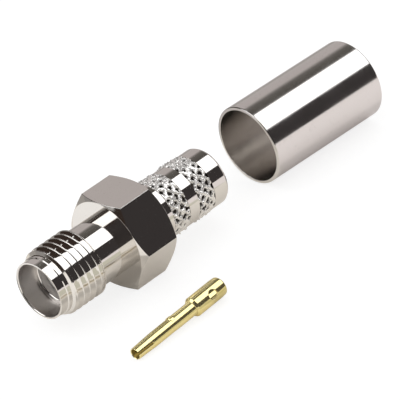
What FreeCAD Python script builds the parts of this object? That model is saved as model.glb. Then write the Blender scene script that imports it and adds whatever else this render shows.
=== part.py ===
import FreeCAD, Part
import math
import os

os.makedirs("parts", exist_ok=True)

# A coaxial crimp jack in its loose pieces, as they lie on a table. Millimetres, +Z up, table at z = 0.
# The body's axis runs along X with its mouth towards -X. The origin is the middle of the hexagon flat
# that the body lies on.

# Connector body, front end: nose rim, male thread and relief. Places are measured back from the mouth.
nose_diameter = 5.3
nose_length = 0.93
nose_edge_break = 0.06
collar_diameter = 5.76
collar_length = 0.18
collar_edge_break = 0.08
thread_diameter = 6.35
thread_lead = 0.17
thread_length = 3.6
relief_diameter = 5.56
barrel_length = 8.17

# Hexagon, with a turned chamfer on both sides
hex_across_flats = 8.3
hex_length = 4.2
hex_face_diameter = 8.4
hex_chamfer_angle = 30.0

# Crimp stem: neck, knurled band, groove, knurled band and end ring
stem_diameter = 5.48
neck_length = 1.41
knurl_length = 2.0
groove_length = 1.12
end_ring_length = 1.65
stem_edge_break = 0.12
knurl_diameter = 5.68
knurl_depth = 0.19
knurl_columns = 18
knurl_rows = 4
knurl_core_inset = 0.15

# Bores: the mouth down to the reference plane, the insulator's seat and the cable's bore
mouth_diameter = 4.7
mouth_lead_in = 0.12
reference_depth = 1.9
insulator_bore_diameter = 4.15
cable_bore_diameter = 3.75
cable_lead_in = 0.2

# Insulator, pressed in from the front against the ledge between its bore and the cable's
insulator_recess = 0.7
insulator_edge_break = 0.1
press_clearance = 0.005
contact_hole_clearance = 0.02

# Centre contact: slotted socket in front, barb, shoulder and the pot for the cable's wire
contact_diameter = 1.27
contact_tip_diameter = 1.12
contact_tip_taper = 2.2
contact_tip_edge_break = 0.08
socket_diameter = 0.93
socket_depth = 2.9
socket_lead_in = 0.06
slot_width = 0.16
slot_length = 2.0
slot_angle = 170.0
barb_start = 3.95
barb_rise_length = 0.3
barb_land_length = 0.32
barb_diameter = 1.48
shoulder_place = 7.0
shoulder_face_diameter = 1.42
pot_diameter = 1.82
pot_bevel_length = 0.22
contact_length = 10.8
pot_edge_break = 0.14
wire_bore_diameter = 1.42
wire_bore_depth = 3.1
inspection_hole_diameter = 0.96
inspection_hole_place = 9.08
inspection_hole_angle = 153.0
drill_point_angle = 118.0

# Crimp ferrule, a plain tube with rounded ends
ferrule_diameter = 7.56
ferrule_wall = 0.29
ferrule_length = 13.24
ferrule_edge_radius = 0.12

# Where the loose contact and ferrule lie, from the body's mouth along its axis and across it
contact_tip_ahead = 0.86
contact_tip_across = -9.8
contact_yaw = 0.95
ferrule_front_ahead = 26.49
ferrule_front_across = 0.52
ferrule_yaw = -2.32

# Places that follow from the sizes above
nose_end = nose_length
collar_end = nose_end + collar_length
thread_start = collar_end + thread_lead
thread_end = thread_start + thread_length
hex_end = barrel_length + hex_length
neck_end = hex_end + neck_length
groove_start = neck_end + knurl_length
groove_end = groove_start + groove_length
ring_start = groove_end + knurl_length
body_length = ring_start + end_ring_length
ledge_depth = reference_depth + shoulder_place
insulator_front = reference_depth + insulator_recess
mouth_x = -(barrel_length + hex_length / 2)
axis_height = hex_across_flats / 2
along_x = FreeCAD.Vector(1, 0, 0)
origin = FreeCAD.Vector(0, 0, 0)


def turned(outline):
    """A solid of revolution about X from a closed outline of (x, radius) points."""
    points = [FreeCAD.Vector(x, radius, 0) for x, radius in outline]
    face = Part.Face(Part.makePolygon(points + points[:1]))
    return face.revolve(origin, along_x, 360)


def drilled(diameter, depth, lead_in):
    """The solid that a drill takes out from x = 0, with a lead-in chamfer and a pointed end."""
    radius = diameter / 2
    point_length = radius / math.tan(math.radians(drill_point_angle / 2))
    return turned([
        (-lead_in, 0),
        (-lead_in, radius + 2 * lead_in),
        (lead_in, radius),
        (depth, radius),
        (depth + point_length, 0),
    ])


def hexagon():
    """The hexagon bar, flats up and down, with its corners turned off at both faces."""
    corner_radius = hex_across_flats / math.sqrt(3)
    corners = []
    for index in range(6):
        angle = math.radians(60 * index)
        corners.append(FreeCAD.Vector(
            barrel_length, corner_radius * math.cos(angle), corner_radius * math.sin(angle)))
    bar = Part.Face(Part.makePolygon(corners + corners[:1])).extrude(along_x * hex_length)
    face_radius = hex_face_diameter / 2
    clear_radius = corner_radius + hex_length / 10
    rise = (clear_radius - face_radius) * math.tan(math.radians(hex_chamfer_angle))
    chamfered = turned([
        (barrel_length, 0),
        (barrel_length, face_radius),
        (barrel_length + rise, clear_radius),
        (hex_end - rise, clear_radius),
        (hex_end, face_radius),
        (hex_end, 0),
    ])
    return bar.common(chamfered)


def knurled_band(start):
    """A diamond knurl: pyramids between two families of crossing grooves, wrapped round the stem.

    Points lie on a grid round the stem. Every second one is a pyramid's tip, and the others are where
    the grooves cross, so each tip has four of them as neighbours and four flat facets between them.
    """
    tip_radius = knurl_diameter / 2
    groove_radius = tip_radius - knurl_depth
    around = 2 * knurl_columns
    row_step = knurl_length / knurl_rows

    def point(column, row):
        is_tip = (column + row) % 2 == 1
        radius = tip_radius if is_tip else groove_radius
        angle = 2 * math.pi * (column % around) / around
        return FreeCAD.Vector(start + row * row_step, radius * math.cos(angle), radius * math.sin(angle))

    def facet(*corners):
        return Part.Face(Part.makePolygon(list(corners) + [corners[0]]))

    faces = []
    for column in range(around):
        for row in range(knurl_rows + 1):
            if (column + row) % 2 == 0:
                continue
            tip = point(column, row)
            left = point(column - 1, row)
            right = point(column + 1, row)
            if row > 0:
                front = point(column, row - 1)
                faces.append(facet(tip, left, front))
                faces.append(facet(tip, front, right))
            if row < knurl_rows:
                back = point(column, row + 1)
                faces.append(facet(tip, back, left))
                faces.append(facet(tip, right, back))
    for row in (0, knurl_rows):
        rim = [point(column, row) for column in range(around)]
        faces.append(Part.Face(Part.makePolygon(rim + rim[:1])))
    band = Part.Solid(Part.Shell(faces))
    if band.Volume < 0:
        band.reverse()
    return band


def connector_body():
    nose_radius = nose_diameter / 2
    collar_radius = collar_diameter / 2
    thread_radius = thread_diameter / 2
    relief_radius = relief_diameter / 2
    stem_radius = stem_diameter / 2
    core_radius = knurl_diameter / 2 - knurl_depth - knurl_core_inset
    outside = turned([
        (0, 0),
        (0, nose_radius - nose_edge_break),
        (nose_edge_break, nose_radius),
        (nose_end, nose_radius),
        (nose_end, collar_radius - collar_edge_break),
        (nose_end + collar_edge_break, collar_radius),
        (collar_end, collar_radius),
        (thread_start, thread_radius),
        (thread_end, thread_radius),
        (thread_end, relief_radius),
        (hex_end - hex_length / 2, relief_radius),
        (hex_end - hex_length / 2, stem_radius),
        (neck_end, stem_radius),
        (neck_end, core_radius),
        (groove_start, core_radius),
        (groove_start, stem_radius),
        (groove_end, stem_radius),
        (groove_end, core_radius),
        (ring_start, core_radius),
        (ring_start, stem_radius),
        (body_length - stem_edge_break, stem_radius),
        (body_length, stem_radius - stem_edge_break),
        (body_length, 0),
    ])
    mouth_radius = mouth_diameter / 2
    seat_radius = insulator_bore_diameter / 2
    cable_radius = cable_bore_diameter / 2
    bores = turned([
        (-mouth_lead_in, 0),
        (-mouth_lead_in, mouth_radius + 2 * mouth_lead_in),
        (mouth_lead_in, mouth_radius),
        (reference_depth, mouth_radius),
        (reference_depth, seat_radius),
        (ledge_depth, seat_radius),
        (ledge_depth, cable_radius),
        (body_length - cable_lead_in, cable_radius),
        (body_length + cable_lead_in, cable_radius + 2 * cable_lead_in),
        (body_length + cable_lead_in, 0),
    ])
    solid = outside.fuse([hexagon(), knurled_band(neck_end), knurled_band(groove_end)])
    return solid.cut(bores).Solids[0]


def insulator():
    radius = insulator_bore_diameter / 2 - press_clearance
    hole_radius = contact_diameter / 2 + contact_hole_clearance
    return turned([
        (insulator_front, hole_radius + insulator_edge_break),
        (insulator_front, radius - insulator_edge_break),
        (insulator_front + insulator_edge_break, radius),
        (ledge_depth - insulator_edge_break, radius),
        (ledge_depth, radius - insulator_edge_break),
        (ledge_depth, hole_radius),
        (insulator_front + insulator_edge_break, hole_radius),
    ])


def center_contact():
    """The contact with its tip at x = 0, still on the X axis."""
    radius = contact_diameter / 2
    tip_radius = contact_tip_diameter / 2
    barb_radius = barb_diameter / 2
    pot_radius = pot_diameter / 2
    barb_end = barb_start + barb_rise_length + barb_land_length
    outside = turned([
        (0, 0),
        (0, tip_radius - contact_tip_edge_break),
        (contact_tip_edge_break, tip_radius),
        (contact_tip_taper, radius),
        (barb_start, radius),
        (barb_start + barb_rise_length, barb_radius),
        (barb_end, barb_radius),
        (barb_end, radius),
        (shoulder_place, radius),
        (shoulder_place, shoulder_face_diameter / 2),
        (shoulder_place + pot_bevel_length, pot_radius),
        (contact_length - pot_edge_break, pot_radius),
        (contact_length, pot_radius - pot_edge_break),
        (contact_length, 0),
    ])
    socket = drilled(socket_diameter, socket_depth, socket_lead_in)
    wire_bore = drilled(wire_bore_diameter, wire_bore_depth, socket_lead_in)
    wire_bore.rotate(origin, FreeCAD.Vector(0, 0, 1), 180)
    wire_bore.translate(along_x * contact_length)
    slot = Part.makeBox(
        slot_length + slot_width, 2 * pot_diameter, slot_width,
        FreeCAD.Vector(-slot_width, -pot_diameter, -slot_width / 2))
    slot.rotate(origin, along_x, slot_angle)
    inspection_hole = Part.makeCylinder(
        inspection_hole_diameter / 2, 2 * pot_diameter,
        FreeCAD.Vector(inspection_hole_place, -pot_diameter, 0), FreeCAD.Vector(0, 1, 0))
    inspection_hole.rotate(origin, along_x, inspection_hole_angle)
    return outside.cut([socket, wire_bore, slot, inspection_hole]).Solids[0]


def lying_contact():
    """The loose contact on the table, resting on its tip and on the front of its pot."""
    tip_radius = contact_tip_diameter / 2
    pot_radius = pot_diameter / 2
    pot_start = shoulder_place + pot_bevel_length
    tilt = math.atan2(pot_radius - tip_radius, pot_start - contact_tip_edge_break)
    height = tip_radius * math.cos(tilt) - contact_tip_edge_break * math.sin(tilt)
    solid = center_contact()
    solid.rotate(origin, FreeCAD.Vector(0, 1, 0), -math.degrees(tilt))
    solid.rotate(origin, FreeCAD.Vector(0, 0, 1), contact_yaw)
    solid.translate(FreeCAD.Vector(mouth_x + contact_tip_ahead, contact_tip_across, height))
    return solid


def crimp_ferrule():
    """The loose ferrule, lying on its side."""
    outer_radius = ferrule_diameter / 2
    inner_radius = outer_radius - ferrule_wall
    tube = turned([
        (0, inner_radius),
        (0, outer_radius),
        (ferrule_length, outer_radius),
        (ferrule_length, inner_radius),
    ])
    rims = []
    for edge in tube.Edges:
        is_circle = edge.Curve.TypeId == "Part::GeomCircle"
        if is_circle and edge.Curve.Radius > outer_radius - ferrule_wall / 2:
            rims.append(edge)
    tube = tube.makeFillet(min(ferrule_edge_radius, ferrule_wall / 2), rims)
    tube.rotate(origin, FreeCAD.Vector(0, 0, 1), ferrule_yaw)
    tube.translate(FreeCAD.Vector(mouth_x + ferrule_front_ahead, ferrule_front_across, outer_radius))
    return tube


def on_body_axis(solid):
    """Moves a piece drawn along X from the mouth to the body's place on the table."""
    solid.translate(FreeCAD.Vector(mouth_x, 0, axis_height))
    return solid


pieces = {
    "connector_body": on_body_axis(connector_body()),
    "insulator": on_body_axis(insulator()),
    "center_contact": lying_contact(),
    "crimp_ferrule": crimp_ferrule(),
}
for name, solid in pieces.items():
    solid.exportStep(f"parts/{name}.step")
    print(name, "volume", round(solid.Volume, 3), "valid", solid.isValid())
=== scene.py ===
import bpy
import bmesh
import math
from mathutils import Matrix, Vector


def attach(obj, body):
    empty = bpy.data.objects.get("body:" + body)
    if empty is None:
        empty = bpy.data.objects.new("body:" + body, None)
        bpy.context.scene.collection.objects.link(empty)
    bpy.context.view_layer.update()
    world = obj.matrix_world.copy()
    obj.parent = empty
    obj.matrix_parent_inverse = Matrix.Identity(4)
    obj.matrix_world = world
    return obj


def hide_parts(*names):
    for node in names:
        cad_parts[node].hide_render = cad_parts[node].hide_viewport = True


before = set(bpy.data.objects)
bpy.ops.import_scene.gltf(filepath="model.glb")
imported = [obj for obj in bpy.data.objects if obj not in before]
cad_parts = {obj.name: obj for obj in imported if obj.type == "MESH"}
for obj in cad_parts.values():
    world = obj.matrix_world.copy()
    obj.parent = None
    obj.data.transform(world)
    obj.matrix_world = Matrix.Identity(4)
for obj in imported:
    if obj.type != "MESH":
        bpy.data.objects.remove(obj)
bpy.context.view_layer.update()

# Pieces are shaped in millimetres along X, with places measured back from their front, and angles round
# them start at +Y and go up over +Z. finishPiece brings them to their place in metres.
shaping = {"cornerShare": 0.45, "supportFrom": 0.12, "supportInset": 0.025, "onAxis": 1e-6, "weld": 1e-5,
           "ringWeld": 1e-4, "facing": 0.9}


def soften(points, steps=4):
    # rounds the corners of a closed outline of (place, radius, rounding)
    rounded = []
    for i, (place, radius, rounding) in enumerate(points):
        corner = Vector((place, radius))
        if rounding <= 0:
            rounded.append(corner)
            continue
        before = Vector(points[i - 1][:2]) - corner
        after = Vector(points[(i + 1) % len(points)][:2]) - corner
        reach = min(rounding, shaping["cornerShare"] * before.length, shaping["cornerShare"] * after.length)
        first = corner + before.normalized() * reach
        last = corner + after.normalized() * reach
        for k in range(steps + 1):
            t = k / steps
            rounded.append(first * (1 - t) ** 2 + corner * 2 * t * (1 - t) + last * t * t)
    outline = []
    for i, point in enumerate(rounded):
        outline.append(point)
        ahead = rounded[(i + 1) % len(rounded)] - point
        if ahead.length > shaping["supportFrom"]:    # support rings keep the shading of a straight straight
            inset = ahead.normalized() * shaping["supportInset"]
            outline.append(point + inset)
            outline.append(point + ahead - inset)
    return [(point.x, point.y) for point in outline]


def turnedMesh(name, outline, segments):
    bm = bmesh.new()
    rings = []
    for place, radius in outline:
        angles = [2 * math.pi * s / segments for s in range(segments)]
        rings.append([bm.verts.new((place, radius * math.cos(a), radius * math.sin(a))) for a in angles])
    for i, ring in enumerate(rings):
        following = (i + 1) % len(rings)
        if max(outline[i][1], outline[following][1]) < shaping["onAxis"]:
            continue    # a stretch along the axis has no faces
        for s in range(segments):
            t = (s + 1) % segments
            bm.faces.new((ring[s], ring[t], rings[following][t], rings[following][s]))
    bmesh.ops.remove_doubles(bm, verts=bm.verts, dist=shaping["weld"])
    bmesh.ops.recalc_face_normals(bm, faces=bm.faces)
    mesh = bpy.data.meshes.new(name)
    bm.to_mesh(mesh)
    bm.free()
    return mesh


def asObject(name, mesh):
    obj = bpy.data.objects.new(name, mesh)
    bpy.context.scene.collection.objects.link(obj)
    return obj


def applyModifiers(obj, name):
    bpy.context.view_layer.update()
    mesh = bpy.data.meshes.new_from_object(obj.evaluated_get(bpy.context.evaluated_depsgraph_get()))
    obj.modifiers.clear()
    obj.data = mesh
    mesh.name = name


def cutWith(obj, cutter, operation):
    boolean = obj.modifiers.new("cut", "BOOLEAN")
    boolean.object = cutter
    boolean.operation = operation
    boolean.solver = "EXACT"
    applyModifiers(obj, obj.name)
    bpy.data.objects.remove(cutter)


def facesAxis(face, limit):
    # true for a face that looks at the piece's axis and is nearer to it than the limit
    x, y, z = face.center
    reach = math.hypot(y, z)
    return reach < limit and face.normal.y * y + face.normal.z * z < -shaping["facing"] * reach


def finishPiece(obj, place, material, sharpAngle=32, isInner=None, innerMaterial=None):
    mesh = obj.data
    mesh.materials.clear()
    mesh.materials.append(material)
    if isInner:
        mesh.materials.append(innerMaterial)
        for face in mesh.polygons:
            face.material_index = int(isInner(face))
    mesh.transform(Matrix.Scale(0.001, 4) @ place)    # millimetres to metres
    mesh.shade_smooth()
    if sharpAngle:
        mesh.set_sharp_from_angle(angle=math.radians(sharpAngle))
    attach(obj, "root")


# Short ways to add nodes. A value may be a number, a colour or another node's output.
def isOutput(value):
    return isinstance(value, bpy.types.NodeSocket)


def joinUp(tree, value, socket):
    if isOutput(value):
        tree.links.new(value, socket)
    else:
        socket.default_value = value


def maths(tree, operation, *values, clamp=False):
    node = tree.nodes.new("ShaderNodeMath")
    node.operation = operation
    node.use_clamp = clamp
    for value, socket in zip(values, node.inputs):
        joinUp(tree, value, socket)
    return node.outputs[0]


def product(tree, first, *others):
    for other in others:
        first = maths(tree, "MULTIPLY", first, other)
    return first


def remap(tree, value, low, high, toLow=0.0, toHigh=1.0, kind="SMOOTHSTEP"):
    node = tree.nodes.new("ShaderNodeMapRange")
    node.interpolation_type = kind
    for socket, given in zip(node.inputs, (value, low, high, toLow, toHigh)):
        joinUp(tree, given, socket)
    return node.outputs[0]


def within(tree, value, low, high, soft=0.02):
    return product(tree, remap(tree, value, low - soft, low + soft),
                   remap(tree, value, high - soft, high + soft, 1.0, 0.0))


def blendColour(tree, factor, first, second):
    node = tree.nodes.new("ShaderNodeMix")
    node.data_type = "RGBA"
    joinUp(tree, factor, node.inputs["Factor"])
    colourInputs = [socket for socket in node.inputs if socket.type == "RGBA"]
    for value, socket in zip((first, second), colourInputs):
        joinUp(tree, value if isOutput(value) else (*value, 1.0), socket)
    return next(socket for socket in node.outputs if socket.type == "RGBA")


def splitVector(tree, vector):
    split = tree.nodes.new("ShaderNodeSeparateXYZ")
    tree.links.new(vector, split.inputs[0])
    return split.outputs


def objectPlace(tree):
    return tree.nodes.new("ShaderNodeTexCoord").outputs["Object"]


def noiseNode(tree, vector, scale, detail):
    noise = tree.nodes.new("ShaderNodeTexNoise")
    noise.inputs["Detail"].default_value = detail
    joinUp(tree, scale, noise.inputs["Scale"])
    tree.links.new(vector, noise.inputs["Vector"])
    return noise


def newGroup(name, kind, inputs, outputs):
    tree = bpy.data.node_groups.new(name, kind)
    for label, socketType, value in inputs:
        socket = tree.interface.new_socket(label, in_out="INPUT", socket_type=socketType)
        if value is not None:
            socket.default_value = value
    for label, socketType in outputs:
        tree.interface.new_socket(label, in_out="OUTPUT", socket_type=socketType)
    source = tree.nodes.new("NodeGroupInput")
    sink = tree.nodes.new("NodeGroupOutput")
    return tree, source.outputs, sink.inputs


# What the metals share: slow changes of tone, fine turning lines along X and small specks.
unevenness = {"toneDetail": 3.0, "lineDetail": 2.0, "speckScale": 5200.0, "speckDetail": 1.0,
              "speckEdge": (0.66, 0.74), "toneRange": (0.3, 0.7), "lineHeight": 2e-6}


def unevenGroup():
    tree, given, result = newGroup(
        "metalUnevenness", "ShaderNodeTree",
        [("Scale", "NodeSocketFloat", 400.0), ("Line Scale", "NodeSocketFloat", 9000.0),
         ("Speck Amount", "NodeSocketFloat", 0.3)],
        [("Tone", "NodeSocketFloat"), ("Lines", "NodeSocketFloat"), ("Specks", "NodeSocketFloat")])
    place = objectPlace(tree)
    cloud = noiseNode(tree, place, given["Scale"], unevenness["toneDetail"])
    lines = tree.nodes.new("ShaderNodeTexNoise")
    lines.noise_dimensions = "1D"
    lines.inputs["Detail"].default_value = unevenness["lineDetail"]
    joinUp(tree, splitVector(tree, place)["X"], lines.inputs["W"])
    joinUp(tree, given["Line Scale"], lines.inputs["Scale"])
    dots = noiseNode(tree, place, unevenness["speckScale"], unevenness["speckDetail"])
    specks = remap(tree, dots.outputs[0], *unevenness["speckEdge"])
    joinUp(tree, cloud.outputs[0], result["Tone"])
    joinUp(tree, lines.outputs[0], result["Lines"])
    joinUp(tree, product(tree, specks, given["Speck Amount"]), result["Specks"])
    return tree


uneven = unevenGroup()


def paintedPitShadeMask(tree, radii, axisHeight):
    # painted shade in the knurl's pits: 1 at the bottoms of the pits and 0 on the lands, by the distance
    # from the jack's axis
    place = splitVector(tree, objectPlace(tree))
    height = maths(tree, "SUBTRACT", place["Z"], axisHeight / 1000)
    side = place["Y"]
    reach = maths(tree, "SQRT", maths(tree, "ADD", product(tree, height, height), product(tree, side, side)))
    return remap(tree, reach, radii[0] / 1000, radii[1] / 1000, 1.0, 0.0)


def metalMaterial(name, finish):
    material = bpy.data.materials.new(name)
    material.use_nodes = True
    tree = material.node_tree
    shader = tree.nodes["Principled BSDF"]
    pattern = tree.nodes.new("ShaderNodeGroup")
    pattern.node_tree = uneven
    pattern.inputs["Scale"].default_value = finish["scale"]
    pattern.inputs["Line Scale"].default_value = finish["lineScale"]
    pattern.inputs["Speck Amount"].default_value = finish["specks"]
    colour = blendColour(tree, pattern.outputs["Tone"], finish["dark"], finish["light"])
    colour = blendColour(tree, pattern.outputs["Specks"], colour, finish["speckColour"])
    # a finish with pit radii gets painted shade, a near-black colour, at the bottoms of its pits
    if "paintedPitShadeRadii" in finish:
        paintedPitShade = paintedPitShadeMask(tree, finish["paintedPitShadeRadii"], finish["axisHeight"])
        colour = blendColour(tree, paintedPitShade, colour, finish["paintedPitShadeColour"])
    joinUp(tree, colour, shader.inputs["Base Color"])
    shader.inputs["Metallic"].default_value = finish["metallic"]
    rough = remap(tree, pattern.outputs["Tone"], *unevenness["toneRange"], *finish["roughness"], "LINEAR")
    joinUp(tree, rough, shader.inputs["Roughness"])
    if finish["lines"]:
        bump = tree.nodes.new("ShaderNodeBump")
        bump.inputs["Strength"].default_value = finish["lines"]
        bump.inputs["Distance"].default_value = unevenness["lineHeight"]
        joinUp(tree, pattern.outputs["Lines"], bump.inputs["Height"])
        joinUp(tree, bump.outputs[0], shader.inputs["Normal"])
    return material


# The jack's turned body, without its hexagon, thread and knurls. Its axis lies along X.
jack = {
    "mouthX": -10.27, "axisZ": 4.15, "segments": 256,
    "rimRadius": 2.56, "noseRadius": 2.71, "noseEnd": 0.78, "stepLength": 0.06, "collarRadius": 2.80,
    "collarEnd": 2.0, "reliefRadius": 2.78, "stemStart": 12.2, "stemRadius": 2.74, "end": 20.58,
    "endChamfer": (0.2, 0.115), "endLip": 0.2,
    "knurlStarts": (13.78, 16.9), "knurlLength": 2.0, "knurlCore": 2.38, "knurlOverlap": 0.02,
    "mouthRadius": 2.5, "mouthLeadIn": 0.06, "stepDepth": 1.9, "stepBreak": (0.06, 0.07),
    "seatRadius": 2.075, "ledge": 8.9, "cableRadius": 1.875, "innerLimit": 2.55,
    "fineRound": 0.01, "rimRound": 0.015, "edgeRound": 0.02, "lipRound": 0.03,
    "finish": {"scale": 500.0, "lineScale": 9000.0, "specks": 0.15, "lines": 0.1, "metallic": 1.0,
               "dark": (0.80, 0.775, 0.745), "light": (0.84, 0.815, 0.785),
               "speckColour": (0.45, 0.42, 0.39), "roughness": (0.05, 0.09)},
    # inside the mouth and the bore the nickel is rougher, and its darker colour is painted shade
    "shadedMouthFinish": {"scale": 600.0, "lineScale": 5000.0, "specks": 0.3, "lines": 0.2, "metallic": 1.0,
                    "dark": (0.57, 0.54, 0.525), "light": (0.65, 0.62, 0.605),
                    "speckColour": (0.33, 0.3, 0.28), "roughness": (0.3, 0.4)},
}


def jackOutline():
    fine = jack["fineRound"]
    edge = jack["edgeRound"]
    stepEnd = jack["noseEnd"] + jack["stepLength"]
    outline = [
        (0.0, jack["rimRadius"], fine),
        (0.0, jack["noseRadius"], jack["rimRound"]),
        (jack["noseEnd"], jack["noseRadius"], fine),
        (stepEnd, jack["collarRadius"], fine),
        (jack["collarEnd"], jack["collarRadius"], 0),
        (jack["collarEnd"], jack["reliefRadius"], 0),
        (jack["stemStart"], jack["reliefRadius"], 0),
        (jack["stemStart"], jack["stemRadius"], 0),
    ]
    for start in jack["knurlStarts"]:    # a lower core under each knurled band
        coreStart = start + jack["knurlOverlap"]
        coreEnd = start + jack["knurlLength"] - jack["knurlOverlap"]
        outline += [(coreStart, jack["stemRadius"], 0), (coreStart, jack["knurlCore"], 0),
                    (coreEnd, jack["knurlCore"], 0), (coreEnd, jack["stemRadius"], 0)]
    chamferLength, chamferDrop = jack["endChamfer"]
    breakLength, breakDrop = jack["stepBreak"]
    outline += [
        (jack["end"] - chamferLength, jack["stemRadius"], fine),
        (jack["end"], jack["stemRadius"] - chamferDrop, edge),
        (jack["end"], jack["cableRadius"] + jack["endLip"], jack["lipRound"]),
        (jack["end"] - jack["endLip"], jack["cableRadius"], edge),
        (jack["ledge"], jack["cableRadius"], edge),
        (jack["ledge"], jack["seatRadius"], 0),
        (jack["stepDepth"] + breakLength, jack["seatRadius"], edge),
        (jack["stepDepth"], jack["seatRadius"] + breakDrop, edge),
        (jack["stepDepth"], jack["mouthRadius"], edge),
        (jack["mouthLeadIn"], jack["mouthRadius"], edge),
    ]
    return soften(outline)


def isJackBore(face):
    return facesAxis(face, jack["innerLimit"])


nickel = metalMaterial("nickel", jack["finish"])
shadedMouthNickel = metalMaterial("shadedMouthNickel", jack["shadedMouthFinish"])
jackPlace = Matrix.Translation((jack["mouthX"], 0, jack["axisZ"]))
jackBody = asObject("jackBody", turnedMesh("jackBody", jackOutline(), jack["segments"]))
finishPiece(jackBody, jackPlace, nickel, isInner=isJackBore, innerMaterial=shadedMouthNickel)
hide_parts("connector_body")
print("turned body made")

# The hexagon, with a turned chamfer on both sides and softened edges.
hexagonPart = {"front": 8.17, "length": 4.2, "acrossFlats": 8.3, "faceRadius": 4.1, "chamfer": 30.0,
               "hole": 2.4, "edgeRound": 0.045, "edgeAngle": 22.0, "edgeSegments": 2,
               "chamferSegments": 192, "holeSegments": 96, "cutterReach": 1.0}


def hexagonPrism(front, back, corner):
    bm = bmesh.new()
    angles = [math.radians(60 * k) for k in range(6)]
    ends = []
    for x in (front, back):
        ends.append([bm.verts.new((x, corner * math.cos(a), corner * math.sin(a))) for a in angles])
    bm.faces.new(ends[0])
    bm.faces.new(ends[1])
    for k in range(6):
        following = (k + 1) % 6
        bm.faces.new((ends[0][k], ends[0][following], ends[1][following], ends[1][k]))
    bmesh.ops.recalc_face_normals(bm, faces=bm.faces)
    mesh = bpy.data.meshes.new("bodyHexagon")
    bm.to_mesh(mesh)
    bm.free()
    return mesh


def makeHexagon():
    front = hexagonPart["front"]
    back = front + hexagonPart["length"]
    corner = hexagonPart["acrossFlats"] / math.sqrt(3)
    faceRadius = hexagonPart["faceRadius"]
    reach = hexagonPart["cutterReach"]
    obj = asObject("bodyHexagon", hexagonPrism(front, back, corner))
    wide = corner + reach
    run = (wide - faceRadius) * math.tan(math.radians(hexagonPart["chamfer"]))
    cone = turnedMesh("cone", [(front, 0), (front, faceRadius), (front + run, wide), (back - run, wide),
                               (back, faceRadius), (back, 0)], hexagonPart["chamferSegments"])
    cutWith(obj, asObject("cone", cone), "INTERSECT")
    hole = turnedMesh("hole", [(front - reach, 0), (front - reach, hexagonPart["hole"]),
                               (back + reach, hexagonPart["hole"]), (back + reach, 0)],
                      hexagonPart["holeSegments"])
    cutWith(obj, asObject("hole", hole), "DIFFERENCE")
    bevel = obj.modifiers.new("edges", "BEVEL")
    bevel.width = hexagonPart["edgeRound"]
    bevel.segments = hexagonPart["edgeSegments"]
    bevel.limit_method = "ANGLE"
    bevel.angle_limit = math.radians(hexagonPart["edgeAngle"])
    bevel.harden_normals = False
    weighted = obj.modifiers.new("shading", "WEIGHTED_NORMAL")
    weighted.keep_sharp = False
    obj.data.shade_smooth()
    applyModifiers(obj, "bodyHexagon")
    return obj


bodyHexagon = makeHexagon()
finishPiece(bodyHexagon, jackPlace, nickel, sharpAngle=0)
print("hexagon made, faces", len(bodyHexagon.data.polygons))


def ringTree(name, inputs, radiusRule):
    # a closed ring round X whose outer radius follows a rule of the place along it and the turn round it
    sockets = [("Geometry", "NodeSocketGeometry", None)]
    for label, value in inputs.items():
        sockets.append((label, "NodeSocketInt" if isinstance(value, int) else "NodeSocketFloat", value))
    sockets.append(("Material", "NodeSocketMaterial", None))
    tree, given, result = newGroup(name, "GeometryNodeTree", sockets, [("Geometry", "NodeSocketGeometry")])
    grid = tree.nodes.new("GeometryNodeMeshGrid")
    grid.inputs["Size X"].default_value = 1.0
    grid.inputs["Size Y"].default_value = 1.0
    joinUp(tree, maths(tree, "ADD", given["Rows"], 1.0), grid.inputs["Vertices X"])
    joinUp(tree, maths(tree, "ADD", given["Segments"], 1.0), grid.inputs["Vertices Y"])
    gridPlace = splitVector(tree, tree.nodes.new("GeometryNodeInputPosition").outputs[0])
    row = product(tree, maths(tree, "ADD", gridPlace["X"], 0.5), given["Rows"])
    turn = maths(tree, "ADD", gridPlace["Y"], 0.5)
    # the first row and the last two lie on the inner wall and close the ring
    along = maths(tree, "DIVIDE", maths(tree, "SUBTRACT", row, 1.0),
                  maths(tree, "SUBTRACT", given["Rows"], 3.0), clamp=True)
    notLast = maths(tree, "LESS_THAN", row, maths(tree, "SUBTRACT", given["Rows"], 0.5))
    along = product(tree, along, notLast)
    outside = product(tree, maths(tree, "GREATER_THAN", row, 0.5),
                      maths(tree, "LESS_THAN", row, maths(tree, "SUBTRACT", given["Rows"], 1.5)))
    x = maths(tree, "MULTIPLY_ADD", along, given["Length"], given["Start"])
    outer = product(tree, radiusRule(tree, given, x, turn), outside)
    inner = product(tree, given["Inner Radius"], maths(tree, "SUBTRACT", 1.0, outside))
    spot = ringPoint(tree, x, maths(tree, "ADD", outer, inner), turn)
    move = tree.nodes.new("GeometryNodeSetPosition")
    tree.links.new(spot, move.inputs["Position"])
    weld = tree.nodes.new("GeometryNodeMergeByDistance")
    weld.inputs["Distance"].default_value = shaping["ringWeld"]
    realize = tree.nodes.new("GeometryNodeRealizeInstances")
    paint = tree.nodes.new("GeometryNodeSetMaterial")
    tree.links.new(given["Material"], paint.inputs["Material"])
    shape = grid.outputs["Mesh"]
    for node in (move, weld, realize, paint):
        tree.links.new(shape, node.inputs["Geometry"])
        shape = node.outputs[0]
    tree.links.new(shape, result[0])
    return tree


def ringPoint(tree, x, radius, turn):
    angle = product(tree, turn, 2 * math.pi)
    spot = tree.nodes.new("ShaderNodeCombineXYZ")
    joinUp(tree, x, spot.inputs[0])
    joinUp(tree, product(tree, radius, maths(tree, "COSINE", angle)), spot.inputs[1])
    joinUp(tree, product(tree, radius, maths(tree, "SINE", angle)), spot.inputs[2])
    return spot.outputs[0]


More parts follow.
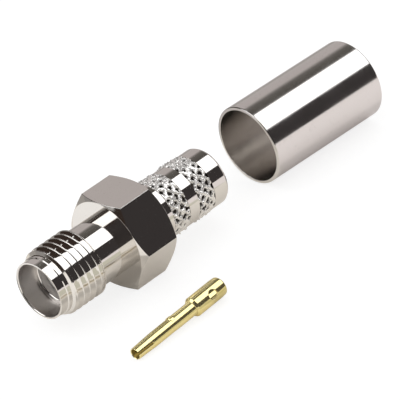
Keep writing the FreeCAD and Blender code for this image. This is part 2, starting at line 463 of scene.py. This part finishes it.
def grownRing(name, tree, values, material):
    obj = asObject(name, bpy.data.meshes.new(name))
    modifier = obj.modifiers.new("ring", "NODES")
    modifier.node_group = tree
    for item in tree.interface.items_tree:
        if item.in_out == "INPUT" and item.name in values:
            modifier[item.identifier] = values[item.name]
        elif item.in_out == "INPUT" and item.name == "Material":
            modifier[item.identifier] = material
    applyModifiers(obj, name)
    bm = bmesh.new()
    bm.from_mesh(obj.data)
    bmesh.ops.recalc_face_normals(bm, faces=bm.faces)
    bm.to_mesh(obj.data)
    bm.free()
    print(name, "faces", len(obj.data.polygons))
    return obj


# The coupling thread, a right-hand helix: its profile's place moves one pitch towards +X in one turn.
thread = {
    "shape": {"Start": 1.22, "Length": 3.66, "Inner Radius": 2.6, "Major Radius": 3.175, "Depth": 0.21,
              "Pitch": 0.7056, "Phase": 1.5, "Start Turn": 0.4167,
              "Lead Radius": 2.8, "Lead Slope": 1.87, "First Crest": 3.08, "Crest Rise": 0.15,
              "Lip": 0.04, "Lip Slope": 3.5, "Rows": 340, "Segments": 216},
    # one pitch, from the front edge of a crest to the next: place, height
    "profile": [(0.0, 1.0), (0.07, 1.0), (0.11, 0.88), (0.19, 0.08), (0.23, 0.0), (0.4, 0.12), (0.58, 0.27),
                (0.75, 0.45), (0.9, 0.66), (0.95, 0.75), (0.979, 0.93), (1.0, 1.0)],
}


def threadRule(tree, given, x, turn):
    fromStart = maths(tree, "SUBTRACT", x, given["Start"])
    turns = maths(tree, "DIVIDE", maths(tree, "SUBTRACT", x, given["Phase"]), given["Pitch"])
    shift = maths(tree, "ADD", given["Start Turn"], 20.0)    # whole turns keep the sum above zero
    phase = maths(tree, "FRACT", maths(tree, "ADD", maths(tree, "SUBTRACT", turns, turn), shift))
    curve = tree.nodes.new("ShaderNodeFloatCurve")
    points = curve.mapping.curves[0].points
    while len(points) < len(thread["profile"]):
        points.new(0.5, 0.5)
    for point, place in zip(points, thread["profile"]):
        point.location = place
        point.handle_type = "VECTOR"
    curve.mapping.update()
    joinUp(tree, phase, curve.inputs["Value"])
    drop = product(tree, maths(tree, "SUBTRACT", 1.0, curve.outputs[0]), given["Depth"])
    form = maths(tree, "SUBTRACT", given["Major Radius"], drop)
    # the last ring ends in a narrow lip
    fromEnd = maths(tree, "SUBTRACT", maths(tree, "ADD", given["Start"], given["Length"]), x)
    pastLip = maths(tree, "MAXIMUM", maths(tree, "SUBTRACT", fromEnd, given["Lip"]), 0.0)
    lip = maths(tree, "SUBTRACT", given["Major Radius"], product(tree, pastLip, given["Lip Slope"]))
    form = maths(tree, "MAXIMUM", form, lip)
    # the lead-in cuts the first ring to a cone, and the first crests are cut back a little
    lead = maths(tree, "MULTIPLY_ADD", fromStart, given["Lead Slope"], given["Lead Radius"])
    firstCrest = maths(tree, "MULTIPLY_ADD", fromStart, given["Crest Rise"], given["First Crest"])
    return maths(tree, "MINIMUM", maths(tree, "MINIMUM", form, firstCrest), lead)


threadTree = ringTree("helicalThread", thread["shape"], threadRule)
couplingThread = grownRing("couplingThread", threadTree, thread["shape"], nickel)
finishPiece(couplingThread, jackPlace, nickel, sharpAngle=0)
print("thread made")

# The knurled bands: two families of lines cross at diamond-shaped pits, which drift, differ in width and
# are torn at their edges. The knurl was pressed deeper on one side.
knurl = {
    "firstRows": {"frontKnurl": 0.34, "rearKnurl": 0.13},    # a row of pits, measured from its band's start
    "noiseDetail": 1.0,
    "shape": {"Start": jack["knurlStarts"][0], "Length": jack["knurlLength"], "Radius": 2.78,
              "Inner Radius": 2.33, "Columns": 17.0, "Row Pitch": 0.94, "Column Phase": -5.0,
              "Row Phase": 14.12, "Seed": 0.0, "Pit Width": 0.62, "Pit Spread": 1.1, "Pit Rounding": 0.08,
              "Heavy Side": 190.0, "Heaviness": 0.36, "Depth": 0.34, "Pillow": 0.012,
              "Drift": 0.5, "Drift Scale": 2.1, "Tearing": 0.055, "Tear Scale": 3.4,
              "Burrs": 0.9, "Burr Scale": 5.0, "Burr Level": 0.6, "End Run": 0.12, "End Drop": 0.1,
              "Rows": 90, "Segments": 400},
    # its pits are darkened with painted shade, by the distance from the axis
    "finish": {"scale": 900.0, "lineScale": 9000.0, "specks": 0.1, "lines": 0.0, "metallic": 0.75,
               "dark": (0.91, 0.89, 0.87), "light": (0.96, 0.945, 0.925),
               "speckColour": (0.45, 0.42, 0.39), "roughness": (0.2, 0.28), "paintedPitShadeRadii": (2.6, 2.72),
               "paintedPitShadeColour": (0.05, 0.042, 0.035), "axisHeight": jack["axisZ"]},
}


def fromMiddle(tree, value):
    return maths(tree, "SUBTRACT", value, 0.5)


def knurlRule(tree, given, x, turn):
    seeded = tree.nodes.new("ShaderNodeVectorMath")
    tree.links.new(ringPoint(tree, x, given["Radius"], turn), seeded.inputs[0])
    tree.links.new(given["Seed"], seeded.inputs[1])
    drift, tear, burrs = [noiseNode(tree, seeded.outputs[0], given[label], knurl["noiseDetail"])
                          for label in ("Drift Scale", "Tear Scale", "Burr Scale")]
    shifts = splitVector(tree, drift.outputs["Color"])    # its three colours shift and widen each pit
    degrees = product(tree, turn, 360.0)
    around = product(tree, maths(tree, "SUBTRACT", degrees, given["Column Phase"]), 1 / 360)
    column = maths(tree, "MULTIPLY_ADD", fromMiddle(tree, shifts[0]), given["Drift"],
                   product(tree, around, given["Columns"]))
    rows = maths(tree, "DIVIDE", maths(tree, "SUBTRACT", x, given["Row Phase"]), given["Row Pitch"])
    line = maths(tree, "MULTIPLY_ADD", fromMiddle(tree, shifts[1]), given["Drift"], rows)
    fromPits = []
    for operation in ("ADD", "SUBTRACT"):
        # each family of grooves is moved half a pitch on, and kept above zero
        family = maths(tree, "ADD", maths(tree, operation, column, line), 100.5)
        fromGroove = maths(tree, "ABSOLUTE", fromMiddle(tree, maths(tree, "FRACT", family)))
        fromPits.append(product(tree, fromGroove, 2.0))
    # some pits are wide and some nearly closed
    width = maths(tree, "MULTIPLY_ADD", fromMiddle(tree, shifts[2]), given["Pit Spread"], 1.0)
    fromHeavy = product(tree, maths(tree, "SUBTRACT", degrees, given["Heavy Side"]), math.pi / 180)
    heavy = maths(tree, "MULTIPLY_ADD", maths(tree, "COSINE", fromHeavy), given["Heaviness"], 1.0)
    width = product(tree, given["Pit Width"], product(tree, width, heavy))
    fromPit = maths(tree, "DIVIDE", maths(tree, "MAXIMUM", *fromPits), width)
    pit = maths(tree, "SMOOTH_MAX", maths(tree, "SUBTRACT", 1.0, fromPit), 0.0, given["Pit Rounding"])
    wave = product(tree, maths(tree, "COSINE", product(tree, column, 2 * math.pi)),
                   maths(tree, "COSINE", product(tree, line, 2 * math.pi)))
    drop = maths(tree, "MULTIPLY_ADD", pit, given["Depth"], product(tree, wave, given["Pillow"]))
    torn = product(tree, fromMiddle(tree, tear.outputs[0]), given["Tearing"])
    burr = maths(tree, "MAXIMUM", maths(tree, "SUBTRACT", burrs.outputs[0], given["Burr Level"]), 0.0)
    raised = maths(tree, "ADD", torn, product(tree, burr, given["Burrs"]))
    radius = maths(tree, "ADD", maths(tree, "SUBTRACT", given["Radius"], drop), raised)
    # the band dips at both of its ends
    fromStart = maths(tree, "SUBTRACT", x, given["Start"])
    fromEnd = maths(tree, "SUBTRACT", maths(tree, "ADD", given["Start"], given["Length"]), x)
    dip = remap(tree, maths(tree, "MINIMUM", fromStart, fromEnd), 0.0, given["End Run"], 1.0, 0.0)
    return maths(tree, "SUBTRACT", radius, product(tree, dip, given["End Drop"]))


tornNickel = metalMaterial("tornNickel", knurl["finish"])
knurlTree = ringTree("diamondKnurl", knurl["shape"], knurlRule)
for (bandName, firstRow), start in zip(knurl["firstRows"].items(), jack["knurlStarts"]):
    bandShape = dict(knurl["shape"])
    bandShape["Start"] = start
    bandShape["Row Phase"] = start + firstRow
    band = grownRing(bandName, knurlTree, bandShape, tornNickel)
    finishPiece(band, jackPlace, tornNickel, sharpAngle=0)
print("knurled bands made")

# The loose contact lies on the table, tilted from its tip up to the shoulder of its pot.
contactPart = {
    "tip": (-9.41, -9.8, 0.5555), "yaw": 0.95, "tilt": 2.806, "segments": 128, "holeSegments": 96,
    "length": 10.7, "drillPoint": 118.0, "leadIn": 0.06, "sharpAngle": 28,
    "socketRadius": 0.465, "socketDepth": 2.9, "potRadius": 0.71, "potDepth": 3.1,
    "slotLength": 1.8, "slotAhead": 0.2, "slotWidth": 0.2, "slotAngle": 160.0, "slotReach": 1.0,
    "holeRadius": 0.48, "holePlace": 9.08, "holeAngle": 153.0, "holeReach": 2.0, "crossSegments": 64,
    "barbAngle": 80.0, "barbOffset": 0.225, "barbSegments": 48,
    "socketDarkTo": 3.5, "socketDarkRadius": 0.48,
    "slotDarkTo": 1.9, "slotDarkRadius": 0.61, "slotDarkHalfWidth": 0.11, "slotFacing": 0.98,
    # place, radius and rounding of the turned outline
    "outline": [(0, 0, 0), (0, 0.54, 0.07), (2.2, 0.625, 0.3), (4.5, 0.625, 0.02), (5.0, 0.645, 0.02),
                (7.05, 0.645, 0.02), (7.05, 0.73, 0.01), (7.28, 0.91, 0.04),    # up to the pot's shoulder
                (10.1, 0.91, 0.2), (10.6, 0.87, 0.05), (10.7, 0.77, 0.03), (10.7, 0, 0)],
    "barb": [(4.36, 0), (4.36, 0.42), (4.44, 0.5), (4.78, 0.5), (4.82, 0.44), (4.82, 0)],
    "finish": {"scale": 700.0, "lineScale": 9000.0, "specks": 0.1, "lines": 0.1, "metallic": 0.94,
               "dark": (0.95, 0.79, 0.32), "light": (1.0, 0.91, 0.5), "speckColour": (0.6, 0.42, 0.15),
               "roughness": (0.10, 0.16)},
    "shadedFinish": {"scale": 700.0, "lineScale": 9000.0, "specks": 0.0, "lines": 0.0, "metallic": 1.0,
                     "dark": (0.22, 0.15, 0.03), "light": (0.3, 0.21, 0.05),
                     "speckColour": (0.2, 0.1, 0.05), "roughness": (0.4, 0.5)},
}


def aboutX(degrees):
    return Matrix.Rotation(math.radians(degrees), 4, "X")


def drillShape(radius, depth):
    leadIn = contactPart["leadIn"]
    pointLength = radius / math.tan(math.radians(contactPart["drillPoint"] / 2))
    return [(-leadIn, 0), (-leadIn, radius + 2 * leadIn), (leadIn, radius), (depth, radius),
            (depth + pointLength, 0)]


def turnedCutter(name, outline, segments, place=Matrix()):
    mesh = turnedMesh(name, outline, segments)
    mesh.transform(place)
    return asObject(name, mesh)


def slotCutter():
    # a box that passes through one wall of the socket only
    length = contactPart["slotLength"] + contactPart["slotAhead"]
    bm = bmesh.new()
    bmesh.ops.create_cube(bm, size=1.0)
    mesh = bpy.data.meshes.new("slot")
    bm.to_mesh(mesh)
    bm.free()
    size = Matrix.Diagonal((length, contactPart["slotReach"], contactPart["slotWidth"], 1.0))
    middle = Matrix.Translation((contactPart["slotLength"] - length / 2, contactPart["slotReach"] / 2, 0))
    mesh.transform(aboutX(contactPart["slotAngle"]) @ middle @ size)
    return asObject("slot", mesh)


def makeContact():
    holeSegments = contactPart["holeSegments"]
    reach = contactPart["holeReach"]
    holeRadius = contactPart["holeRadius"]
    outline = soften(contactPart["outline"], steps=3)
    obj = asObject("centreContact", turnedMesh("centreContact", outline, contactPart["segments"]))
    barbPlace = aboutX(contactPart["barbAngle"]) @ Matrix.Translation((0, contactPart["barbOffset"], 0))
    barb = turnedCutter("barb", contactPart["barb"], contactPart["barbSegments"], barbPlace)
    cutWith(obj, barb, "UNION")
    socket = drillShape(contactPart["socketRadius"], contactPart["socketDepth"])
    cutWith(obj, turnedCutter("socket", socket, holeSegments), "DIFFERENCE")
    pot = drillShape(contactPart["potRadius"], contactPart["potDepth"])
    potPlace = Matrix.Translation((contactPart["length"], 0, 0)) @ Matrix.Rotation(math.pi, 4, "Z")
    cutWith(obj, turnedCutter("pot", pot, holeSegments, potPlace), "DIFFERENCE")
    cutWith(obj, slotCutter(), "DIFFERENCE")
    hole = [(-reach, 0), (-reach, holeRadius), (reach, holeRadius), (reach, 0)]
    holePlace = (aboutX(contactPart["holeAngle"]) @ Matrix.Translation((contactPart["holePlace"], 0, 0))
                 @ Matrix.Rotation(math.pi / 2, 4, "Z"))
    cutWith(obj, turnedCutter("hole", hole, contactPart["crossSegments"], holePlace), "DIFFERENCE")
    return obj


def isSlotOrSocket(face):
    x, y, z = face.center
    cosine = math.cos(math.radians(contactPart["slotAngle"]))
    sine = math.sin(math.radians(contactPart["slotAngle"]))
    inSocket = x < contactPart["socketDarkTo"] and facesAxis(face, contactPart["socketDarkRadius"])
    facesAcross = abs(face.normal.z * cosine - face.normal.y * sine) > contactPart["slotFacing"]
    nearSlot = abs(z * cosine - y * sine) < contactPart["slotDarkHalfWidth"]
    inWall = math.hypot(y, z) < contactPart["slotDarkRadius"]
    return inSocket or (x < contactPart["slotDarkTo"] and facesAcross and inWall and nearSlot)


# the shaded copy of the gold is painted shade on the socket's inner wall and on the walls of the slot
gold = metalMaterial("gold", contactPart["finish"])
shadedGold = metalMaterial("shadedGold", contactPart["shadedFinish"])
centreContact = makeContact()
contactPlace = (Matrix.Translation(contactPart["tip"])
                @ Matrix.Rotation(math.radians(contactPart["yaw"]), 4, "Z")
                @ Matrix.Rotation(-math.radians(contactPart["tilt"]), 4, "Y"))
finishPiece(centreContact, contactPlace, gold, contactPart["sharpAngle"],
            isInner=isSlotOrSocket, innerMaterial=shadedGold)
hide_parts("center_contact")
centreContact.visible_glossy = False
print("contact made, faces", len(centreContact.data.polygons))

# The plain tube of the ferrule.
ferrulePart = {
    "front": (16.22, 0.52, 3.78), "yaw": -2.32, "radius": 3.78, "wall": 0.29, "length": 13.24,
    "outerRound": 0.13, "innerRound": 0.05, "segments": 256, "innerMargin": 0.02,
    "finish": {"scale": 350.0, "lineScale": 7000.0, "specks": 0.2, "lines": 0.15, "metallic": 1.0,
               "dark": (0.80, 0.78, 0.76), "light": (0.84, 0.82, 0.80), "speckColour": (0.4, 0.38, 0.36),
               "roughness": (0.10, 0.15)},
    # inside the bore the nickel is rougher, and its darker colour is painted shade
    "shadedBoreFinish": {"scale": 600.0, "lineScale": 5000.0, "specks": 0.1, "lines": 0.2, "metallic": 1.0,
                   "dark": (0.655, 0.63, 0.60), "light": (0.735, 0.71, 0.68),
                   "speckColour": (0.35, 0.32, 0.3), "roughness": (0.215, 0.265)},
}
ferruleBore = ferrulePart["radius"] - ferrulePart["wall"]


def ferruleOutline():
    radius = ferrulePart["radius"]
    length = ferrulePart["length"]
    innerRound = ferrulePart["innerRound"]
    outerRound = ferrulePart["outerRound"]
    return soften([(0, ferruleBore, innerRound), (0, radius, outerRound),
                   (length, radius, outerRound), (length, ferruleBore, innerRound)])


def isFerruleBore(face):
    return facesAxis(face, ferruleBore + ferrulePart["innerMargin"])


satinNickel = metalMaterial("satinNickel", ferrulePart["finish"])
dullShadedNickel = metalMaterial("dullShadedNickel", ferrulePart["shadedBoreFinish"])
ferruleTube = turnedMesh("crimpFerrule", ferruleOutline(), ferrulePart["segments"])
crimpFerrule = asObject("crimpFerrule", ferruleTube)
ferrulePlace = (Matrix.Translation(ferrulePart["front"])
                @ Matrix.Rotation(math.radians(ferrulePart["yaw"]), 4, "Z"))
finishPiece(crimpFerrule, ferrulePlace, satinNickel,
            isInner=isFerruleBore, innerMaterial=dullShadedNickel)
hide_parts("crimp_ferrule")
print("ferrule made")

# The insulator keeps its CAD shape.
insulatorPart = {"scale": 900.0, "detail": 2.0, "dark": (0.80, 0.79, 0.76), "light": (0.86, 0.85, 0.83),
                 "roughness": 0.45}


def plasticMaterial():
    material = bpy.data.materials.new("whitePlastic")
    material.use_nodes = True
    tree = material.node_tree
    shader = tree.nodes["Principled BSDF"]
    tone = noiseNode(tree, objectPlace(tree), insulatorPart["scale"], insulatorPart["detail"])
    colour = blendColour(tree, tone.outputs[0], insulatorPart["dark"], insulatorPart["light"])
    joinUp(tree, colour, shader.inputs["Base Color"])
    shader.inputs["Roughness"].default_value = insulatorPart["roughness"]
    return material


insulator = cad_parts["insulator"]
insulator.data.materials.clear()
insulator.data.materials.append(plasticMaterial())
print("insulator coloured")

# The studio that the metal mirrors. A direction is read as a place on a flat ceiling one unit up:
# across is its x and away its y. Each box of light is (across from, across to), (away from, away to). The
# low wall, the gap in the left wall and the backdrop's left edge are read from the direction itself. Of
# three values, the third is how soft the edges are.
studio = {
    "white": 1.7, "lowest": 0.01,    # lowest is the least height that a direction is given
    "rightBox": ((-0.42, 1.35), (-1.02, 4.0)), "rightBoxSlant": -0.26, "rightBoxEdge": (-0.05, -0.01),
    "leftBox": ((-3.0, -0.42), (0.11, 1.28)),
    "strip": ((0.2, 0.66), (0.55, 0.61)),
    "black": (0.042, 0.037, 0.037), "room": (0.038, 0.027, 0.022), "roomFrom": (-0.1, 0.0),
    "leftWall": (0.42, 0.41, 0.40), "leftWallFrom": (1.2, 1.3), "leftWallAcross": (-3.65, -1.3, 0.1),
    "leftWallGap": (-0.585, -0.52, 0.005),
    "lowWall": (0.3, 0.285, 0.275), "lowWallTop": (0.15, 0.19), "lowWallFrom": (0.4, 0.6),
    "lowWallLeft": (-0.3, -0.2),
    "backdropNear": (0.08, 0.074, 0.066), "backdropMiddle": (0.14, 0.13, 0.12),
    "backdropFar": (0.49, 0.45, 0.44), "backdropRise": (0.1, 0.75), "backdropEdge": (0.68, 1.2),
    "backdropFrom": (0.0, 0.06), "backdropLeft": (0.36, 0.47),
    "skyLow": 0.78, "skyRise": 0.35,
}


def boxOfLight(tree, across, away, box):
    return product(tree, within(tree, across, *box[0]), within(tree, away, *box[1]))


def mirroredRoom(tree, x, y, z):
    ceiling = maths(tree, "MAXIMUM", z, studio["lowest"])
    across = maths(tree, "DIVIDE", x, ceiling)
    away = maths(tree, "DIVIDE", y, ceiling)
    # the right-hand box lies a little askew
    slanted = maths(tree, "MULTIPLY_ADD", across, studio["rightBoxSlant"], away)
    rightBox = product(tree, boxOfLight(tree, across, away, studio["rightBox"]),
                       remap(tree, slanted, *studio["rightBoxEdge"], 1.0, 0.0))
    leftBox = boxOfLight(tree, across, away, studio["leftBox"])
    strip = boxOfLight(tree, across, away, studio["strip"])
    light = maths(tree, "ADD", maths(tree, "ADD", rightBox, leftBox), strip, clamp=True)
    dark = blendColour(tree, remap(tree, away, *studio["roomFrom"]), studio["black"], studio["room"])
    left = product(tree, remap(tree, away, *studio["leftWallFrom"]),
                   within(tree, across, *studio["leftWallAcross"]),
                   maths(tree, "SUBTRACT", 1.0, within(tree, x, *studio["leftWallGap"])))
    dark = blendColour(tree, left, dark, studio["leftWall"])
    low = product(tree, remap(tree, z, *studio["lowWallTop"], 1.0, 0.0),
                  remap(tree, y, *studio["lowWallFrom"]), remap(tree, x, *studio["lowWallLeft"], 1.0, 0.0))
    dark = blendColour(tree, low, dark, studio["lowWall"])
    backdrop = blendColour(tree, remap(tree, away, *studio["backdropRise"], kind="LINEAR"),
                           studio["backdropNear"], studio["backdropMiddle"])
    backdrop = blendColour(tree, remap(tree, away, *studio["backdropEdge"]), backdrop, studio["backdropFar"])
    behind = product(tree, remap(tree, away, *studio["backdropFrom"]),
                     remap(tree, x, *studio["backdropLeft"]))
    colour = blendColour(tree, behind, dark, backdrop)
    return blendColour(tree, light, colour, (studio["white"],) * 3)


def makeWorld():
    world = bpy.data.worlds.new("studio")
    bpy.context.scene.world = world
    world.use_nodes = True
    world.cycles.sampling_method = "NONE"
    tree = world.node_tree
    tree.nodes.clear()
    direction = tree.nodes.new("ShaderNodeTexCoord").outputs["Generated"]
    x, y, z = splitVector(tree, direction)
    path = tree.nodes.new("ShaderNodeLightPath").outputs
    # plain rays see an even sky, mirror rays the room, and the camera white
    sky = tree.nodes.new("ShaderNodeCombineColor")
    skyTone = maths(tree, "MULTIPLY_ADD", z, studio["skyRise"], studio["skyLow"])
    for socket in sky.inputs[:3]:
        joinUp(tree, skyTone, socket)
    mirror = maths(tree, "MAXIMUM", path["Is Glossy Ray"], path["Is Transmission Ray"])
    colour = blendColour(tree, mirror, sky.outputs[0], mirroredRoom(tree, x, y, z))
    colour = blendColour(tree, path["Is Camera Ray"], colour, (1.0, 1.0, 1.0))
    shine = tree.nodes.new("ShaderNodeBackground")
    joinUp(tree, colour, shine.inputs["Color"])
    out = tree.nodes.new("ShaderNodeOutputWorld")
    tree.links.new(shine.outputs[0], out.inputs["Surface"])


# The pale floor. The camera sees it plain, and the metal sees it in these tones, which paint lighter and
# darker places onto it: painted light and painted shade, shown in the metal's reflections. Places are in
# metres.
floorPart = {
    "height": -1e-5, "halfWidth": 2, "plain": (0.28, 0.28, 0.28), "plainGlow": 0.78, "mirrorGlow": 0.12,
    "near": (0.83, 0.785, 0.72),
    "far": (0.62, 0.60, 0.50), "farBefore": (-0.0130, -0.0120), "farLeft": (0.01, 0.03),
    "right": (0.86, 0.805, 0.79), "rightFrom": (0.016, 0.019),
    "side": (0.53, 0.495, 0.485), "sideFrom": (0.007, 0.011), "sideRight": (0.0, 0.006),
    "left": (1.0, 0.985, 0.965), "leftWithin": (0.0065, 0.019, 0.0015), "leftEdge": (-0.006, -0.004),
    "front": (0.98, 0.95, 0.90), "frontBefore": (0.0, 0.003), "frontLeft": (-0.0098, -0.0086),
    "beyond": (0.36, 0.34, 0.32), "beyondFrom": (0.025, 0.04),
    "shade": (0.12, 0.11, 0.1), "shadeSoft": (0.0005, 0.001),
    # shaded spots: x from and to, y from and to, how dark
    "shadedSpots": ((-0.0054, -0.0017, -0.004, 0.0015, 0.35), (-0.0148, -0.0115, 0.003, 0.009, 0.8),
                    (0.0175, 0.033, -0.0045, 0.0, 0.15), (0.0, 0.0065, -0.0135, -0.0085, 0.3),
                    (-0.0095, -0.0045, -0.0075, -0.0046, 0.35)),
}


def mirroredFloor(tree, x, y):
    far = product(tree, remap(tree, y, *floorPart["farBefore"], 1.0, 0.0),
                  remap(tree, x, *floorPart["farLeft"], 1.0, 0.0))
    tone = blendColour(tree, far, floorPart["near"], floorPart["far"])
    tone = blendColour(tree, remap(tree, x, *floorPart["rightFrom"]), tone, floorPart["right"])
    side = product(tree, remap(tree, y, *floorPart["sideFrom"]), remap(tree, x, *floorPart["sideRight"]))
    tone = blendColour(tree, side, tone, floorPart["side"])
    left = product(tree, within(tree, y, *floorPart["leftWithin"]),
                   remap(tree, x, *floorPart["leftEdge"], 1.0, 0.0))
    tone = blendColour(tree, left, tone, floorPart["left"])
    front = product(tree, remap(tree, y, *floorPart["frontBefore"], 1.0, 0.0),
                    remap(tree, x, *floorPart["frontLeft"], 1.0, 0.0))
    tone = blendColour(tree, front, tone, floorPart["front"])
    softX, softY = floorPart["shadeSoft"]
    for xFrom, xTo, yFrom, yTo, amount in floorPart["shadedSpots"]:
        spot = product(tree, within(tree, x, xFrom, xTo, softX), within(tree, y, yFrom, yTo, softY))
        tone = blendColour(tree, product(tree, spot, amount), tone, floorPart["shade"])
    return blendColour(tree, remap(tree, y, *floorPart["beyondFrom"]), tone, floorPart["beyond"])


def litAndGlowing(tree, lit, glow, strength):
    diffuse = tree.nodes.new("ShaderNodeBsdfDiffuse")
    joinUp(tree, lit, diffuse.inputs["Color"])
    emission = tree.nodes.new("ShaderNodeEmission")
    joinUp(tree, glow, emission.inputs["Color"])
    emission.inputs["Strength"].default_value = strength
    both = tree.nodes.new("ShaderNodeAddShader")
    tree.links.new(diffuse.outputs[0], both.inputs[0])
    tree.links.new(emission.outputs[0], both.inputs[1])
    return both.outputs[0]


def floorMaterial():
    material = bpy.data.materials.new("paleFloor")
    material.use_nodes = True
    tree = material.node_tree
    tree.nodes.clear()
    place = splitVector(tree, objectPlace(tree))
    tone = mirroredFloor(tree, place["X"], place["Y"])
    # metal sees the floor part lit and part glowing, so that the shade under the pieces stays soft
    black = (0.0, 0.0, 0.0)
    lit = blendColour(tree, floorPart["mirrorGlow"], tone, black)
    glow = blendColour(tree, floorPart["mirrorGlow"], black, tone)
    inMetal = litAndGlowing(tree, lit, glow, 1.0)
    inCamera = litAndGlowing(tree, (*floorPart["plain"], 1.0), (1.0, 1.0, 1.0, 1.0), floorPart["plainGlow"])
    pick = tree.nodes.new("ShaderNodeMixShader")
    tree.links.new(tree.nodes.new("ShaderNodeLightPath").outputs["Is Camera Ray"], pick.inputs[0])
    tree.links.new(inMetal, pick.inputs[1])
    tree.links.new(inCamera, pick.inputs[2])
    out = tree.nodes.new("ShaderNodeOutputMaterial")
    tree.links.new(pick.outputs[0], out.inputs["Surface"])
    return material


def floorSheet():
    half = floorPart["halfWidth"]
    corners = ((-half, -half), (half, -half), (half, half), (-half, half))
    mesh = bpy.data.meshes.new("floor")
    mesh.from_pydata([(x, y, floorPart["height"]) for x, y in corners], [], [(0, 1, 2, 3)])
    mesh.materials.append(floorMaterial())
    return mesh


makeWorld()
floor = asObject("floor", floorSheet())
print("studio made")

# The camera was fitted to the photo: its place is in metres, and its lens in millimetres.
cameraPart = {"lens": 325.6, "sensorWidth": 36.0, "clip": (0.01, 20.0),
              "place": (-0.16536, -0.20696, 0.16472), "right": (0.68352, -0.70979, -0.17028),
              "up": (0.47687, 0.25762, 0.84037), "back": (-0.55262, -0.65561, 0.51457)}
camera = bpy.data.cameras.new("camera")
camera.lens = cameraPart["lens"]
camera.sensor_width = cameraPart["sensorWidth"]
camera.clip_start, camera.clip_end = cameraPart["clip"]
cameraTurn = Matrix((cameraPart["right"], cameraPart["up"], cameraPart["back"])).transposed().to_4x4()
cameraObject = asObject("camera", camera)
cameraObject.matrix_world = Matrix.Translation(cameraPart["place"]) @ cameraTurn
bpy.context.scene.camera = cameraObject
bpy.context.scene.view_settings.view_transform = "Standard"
print("camera placed")
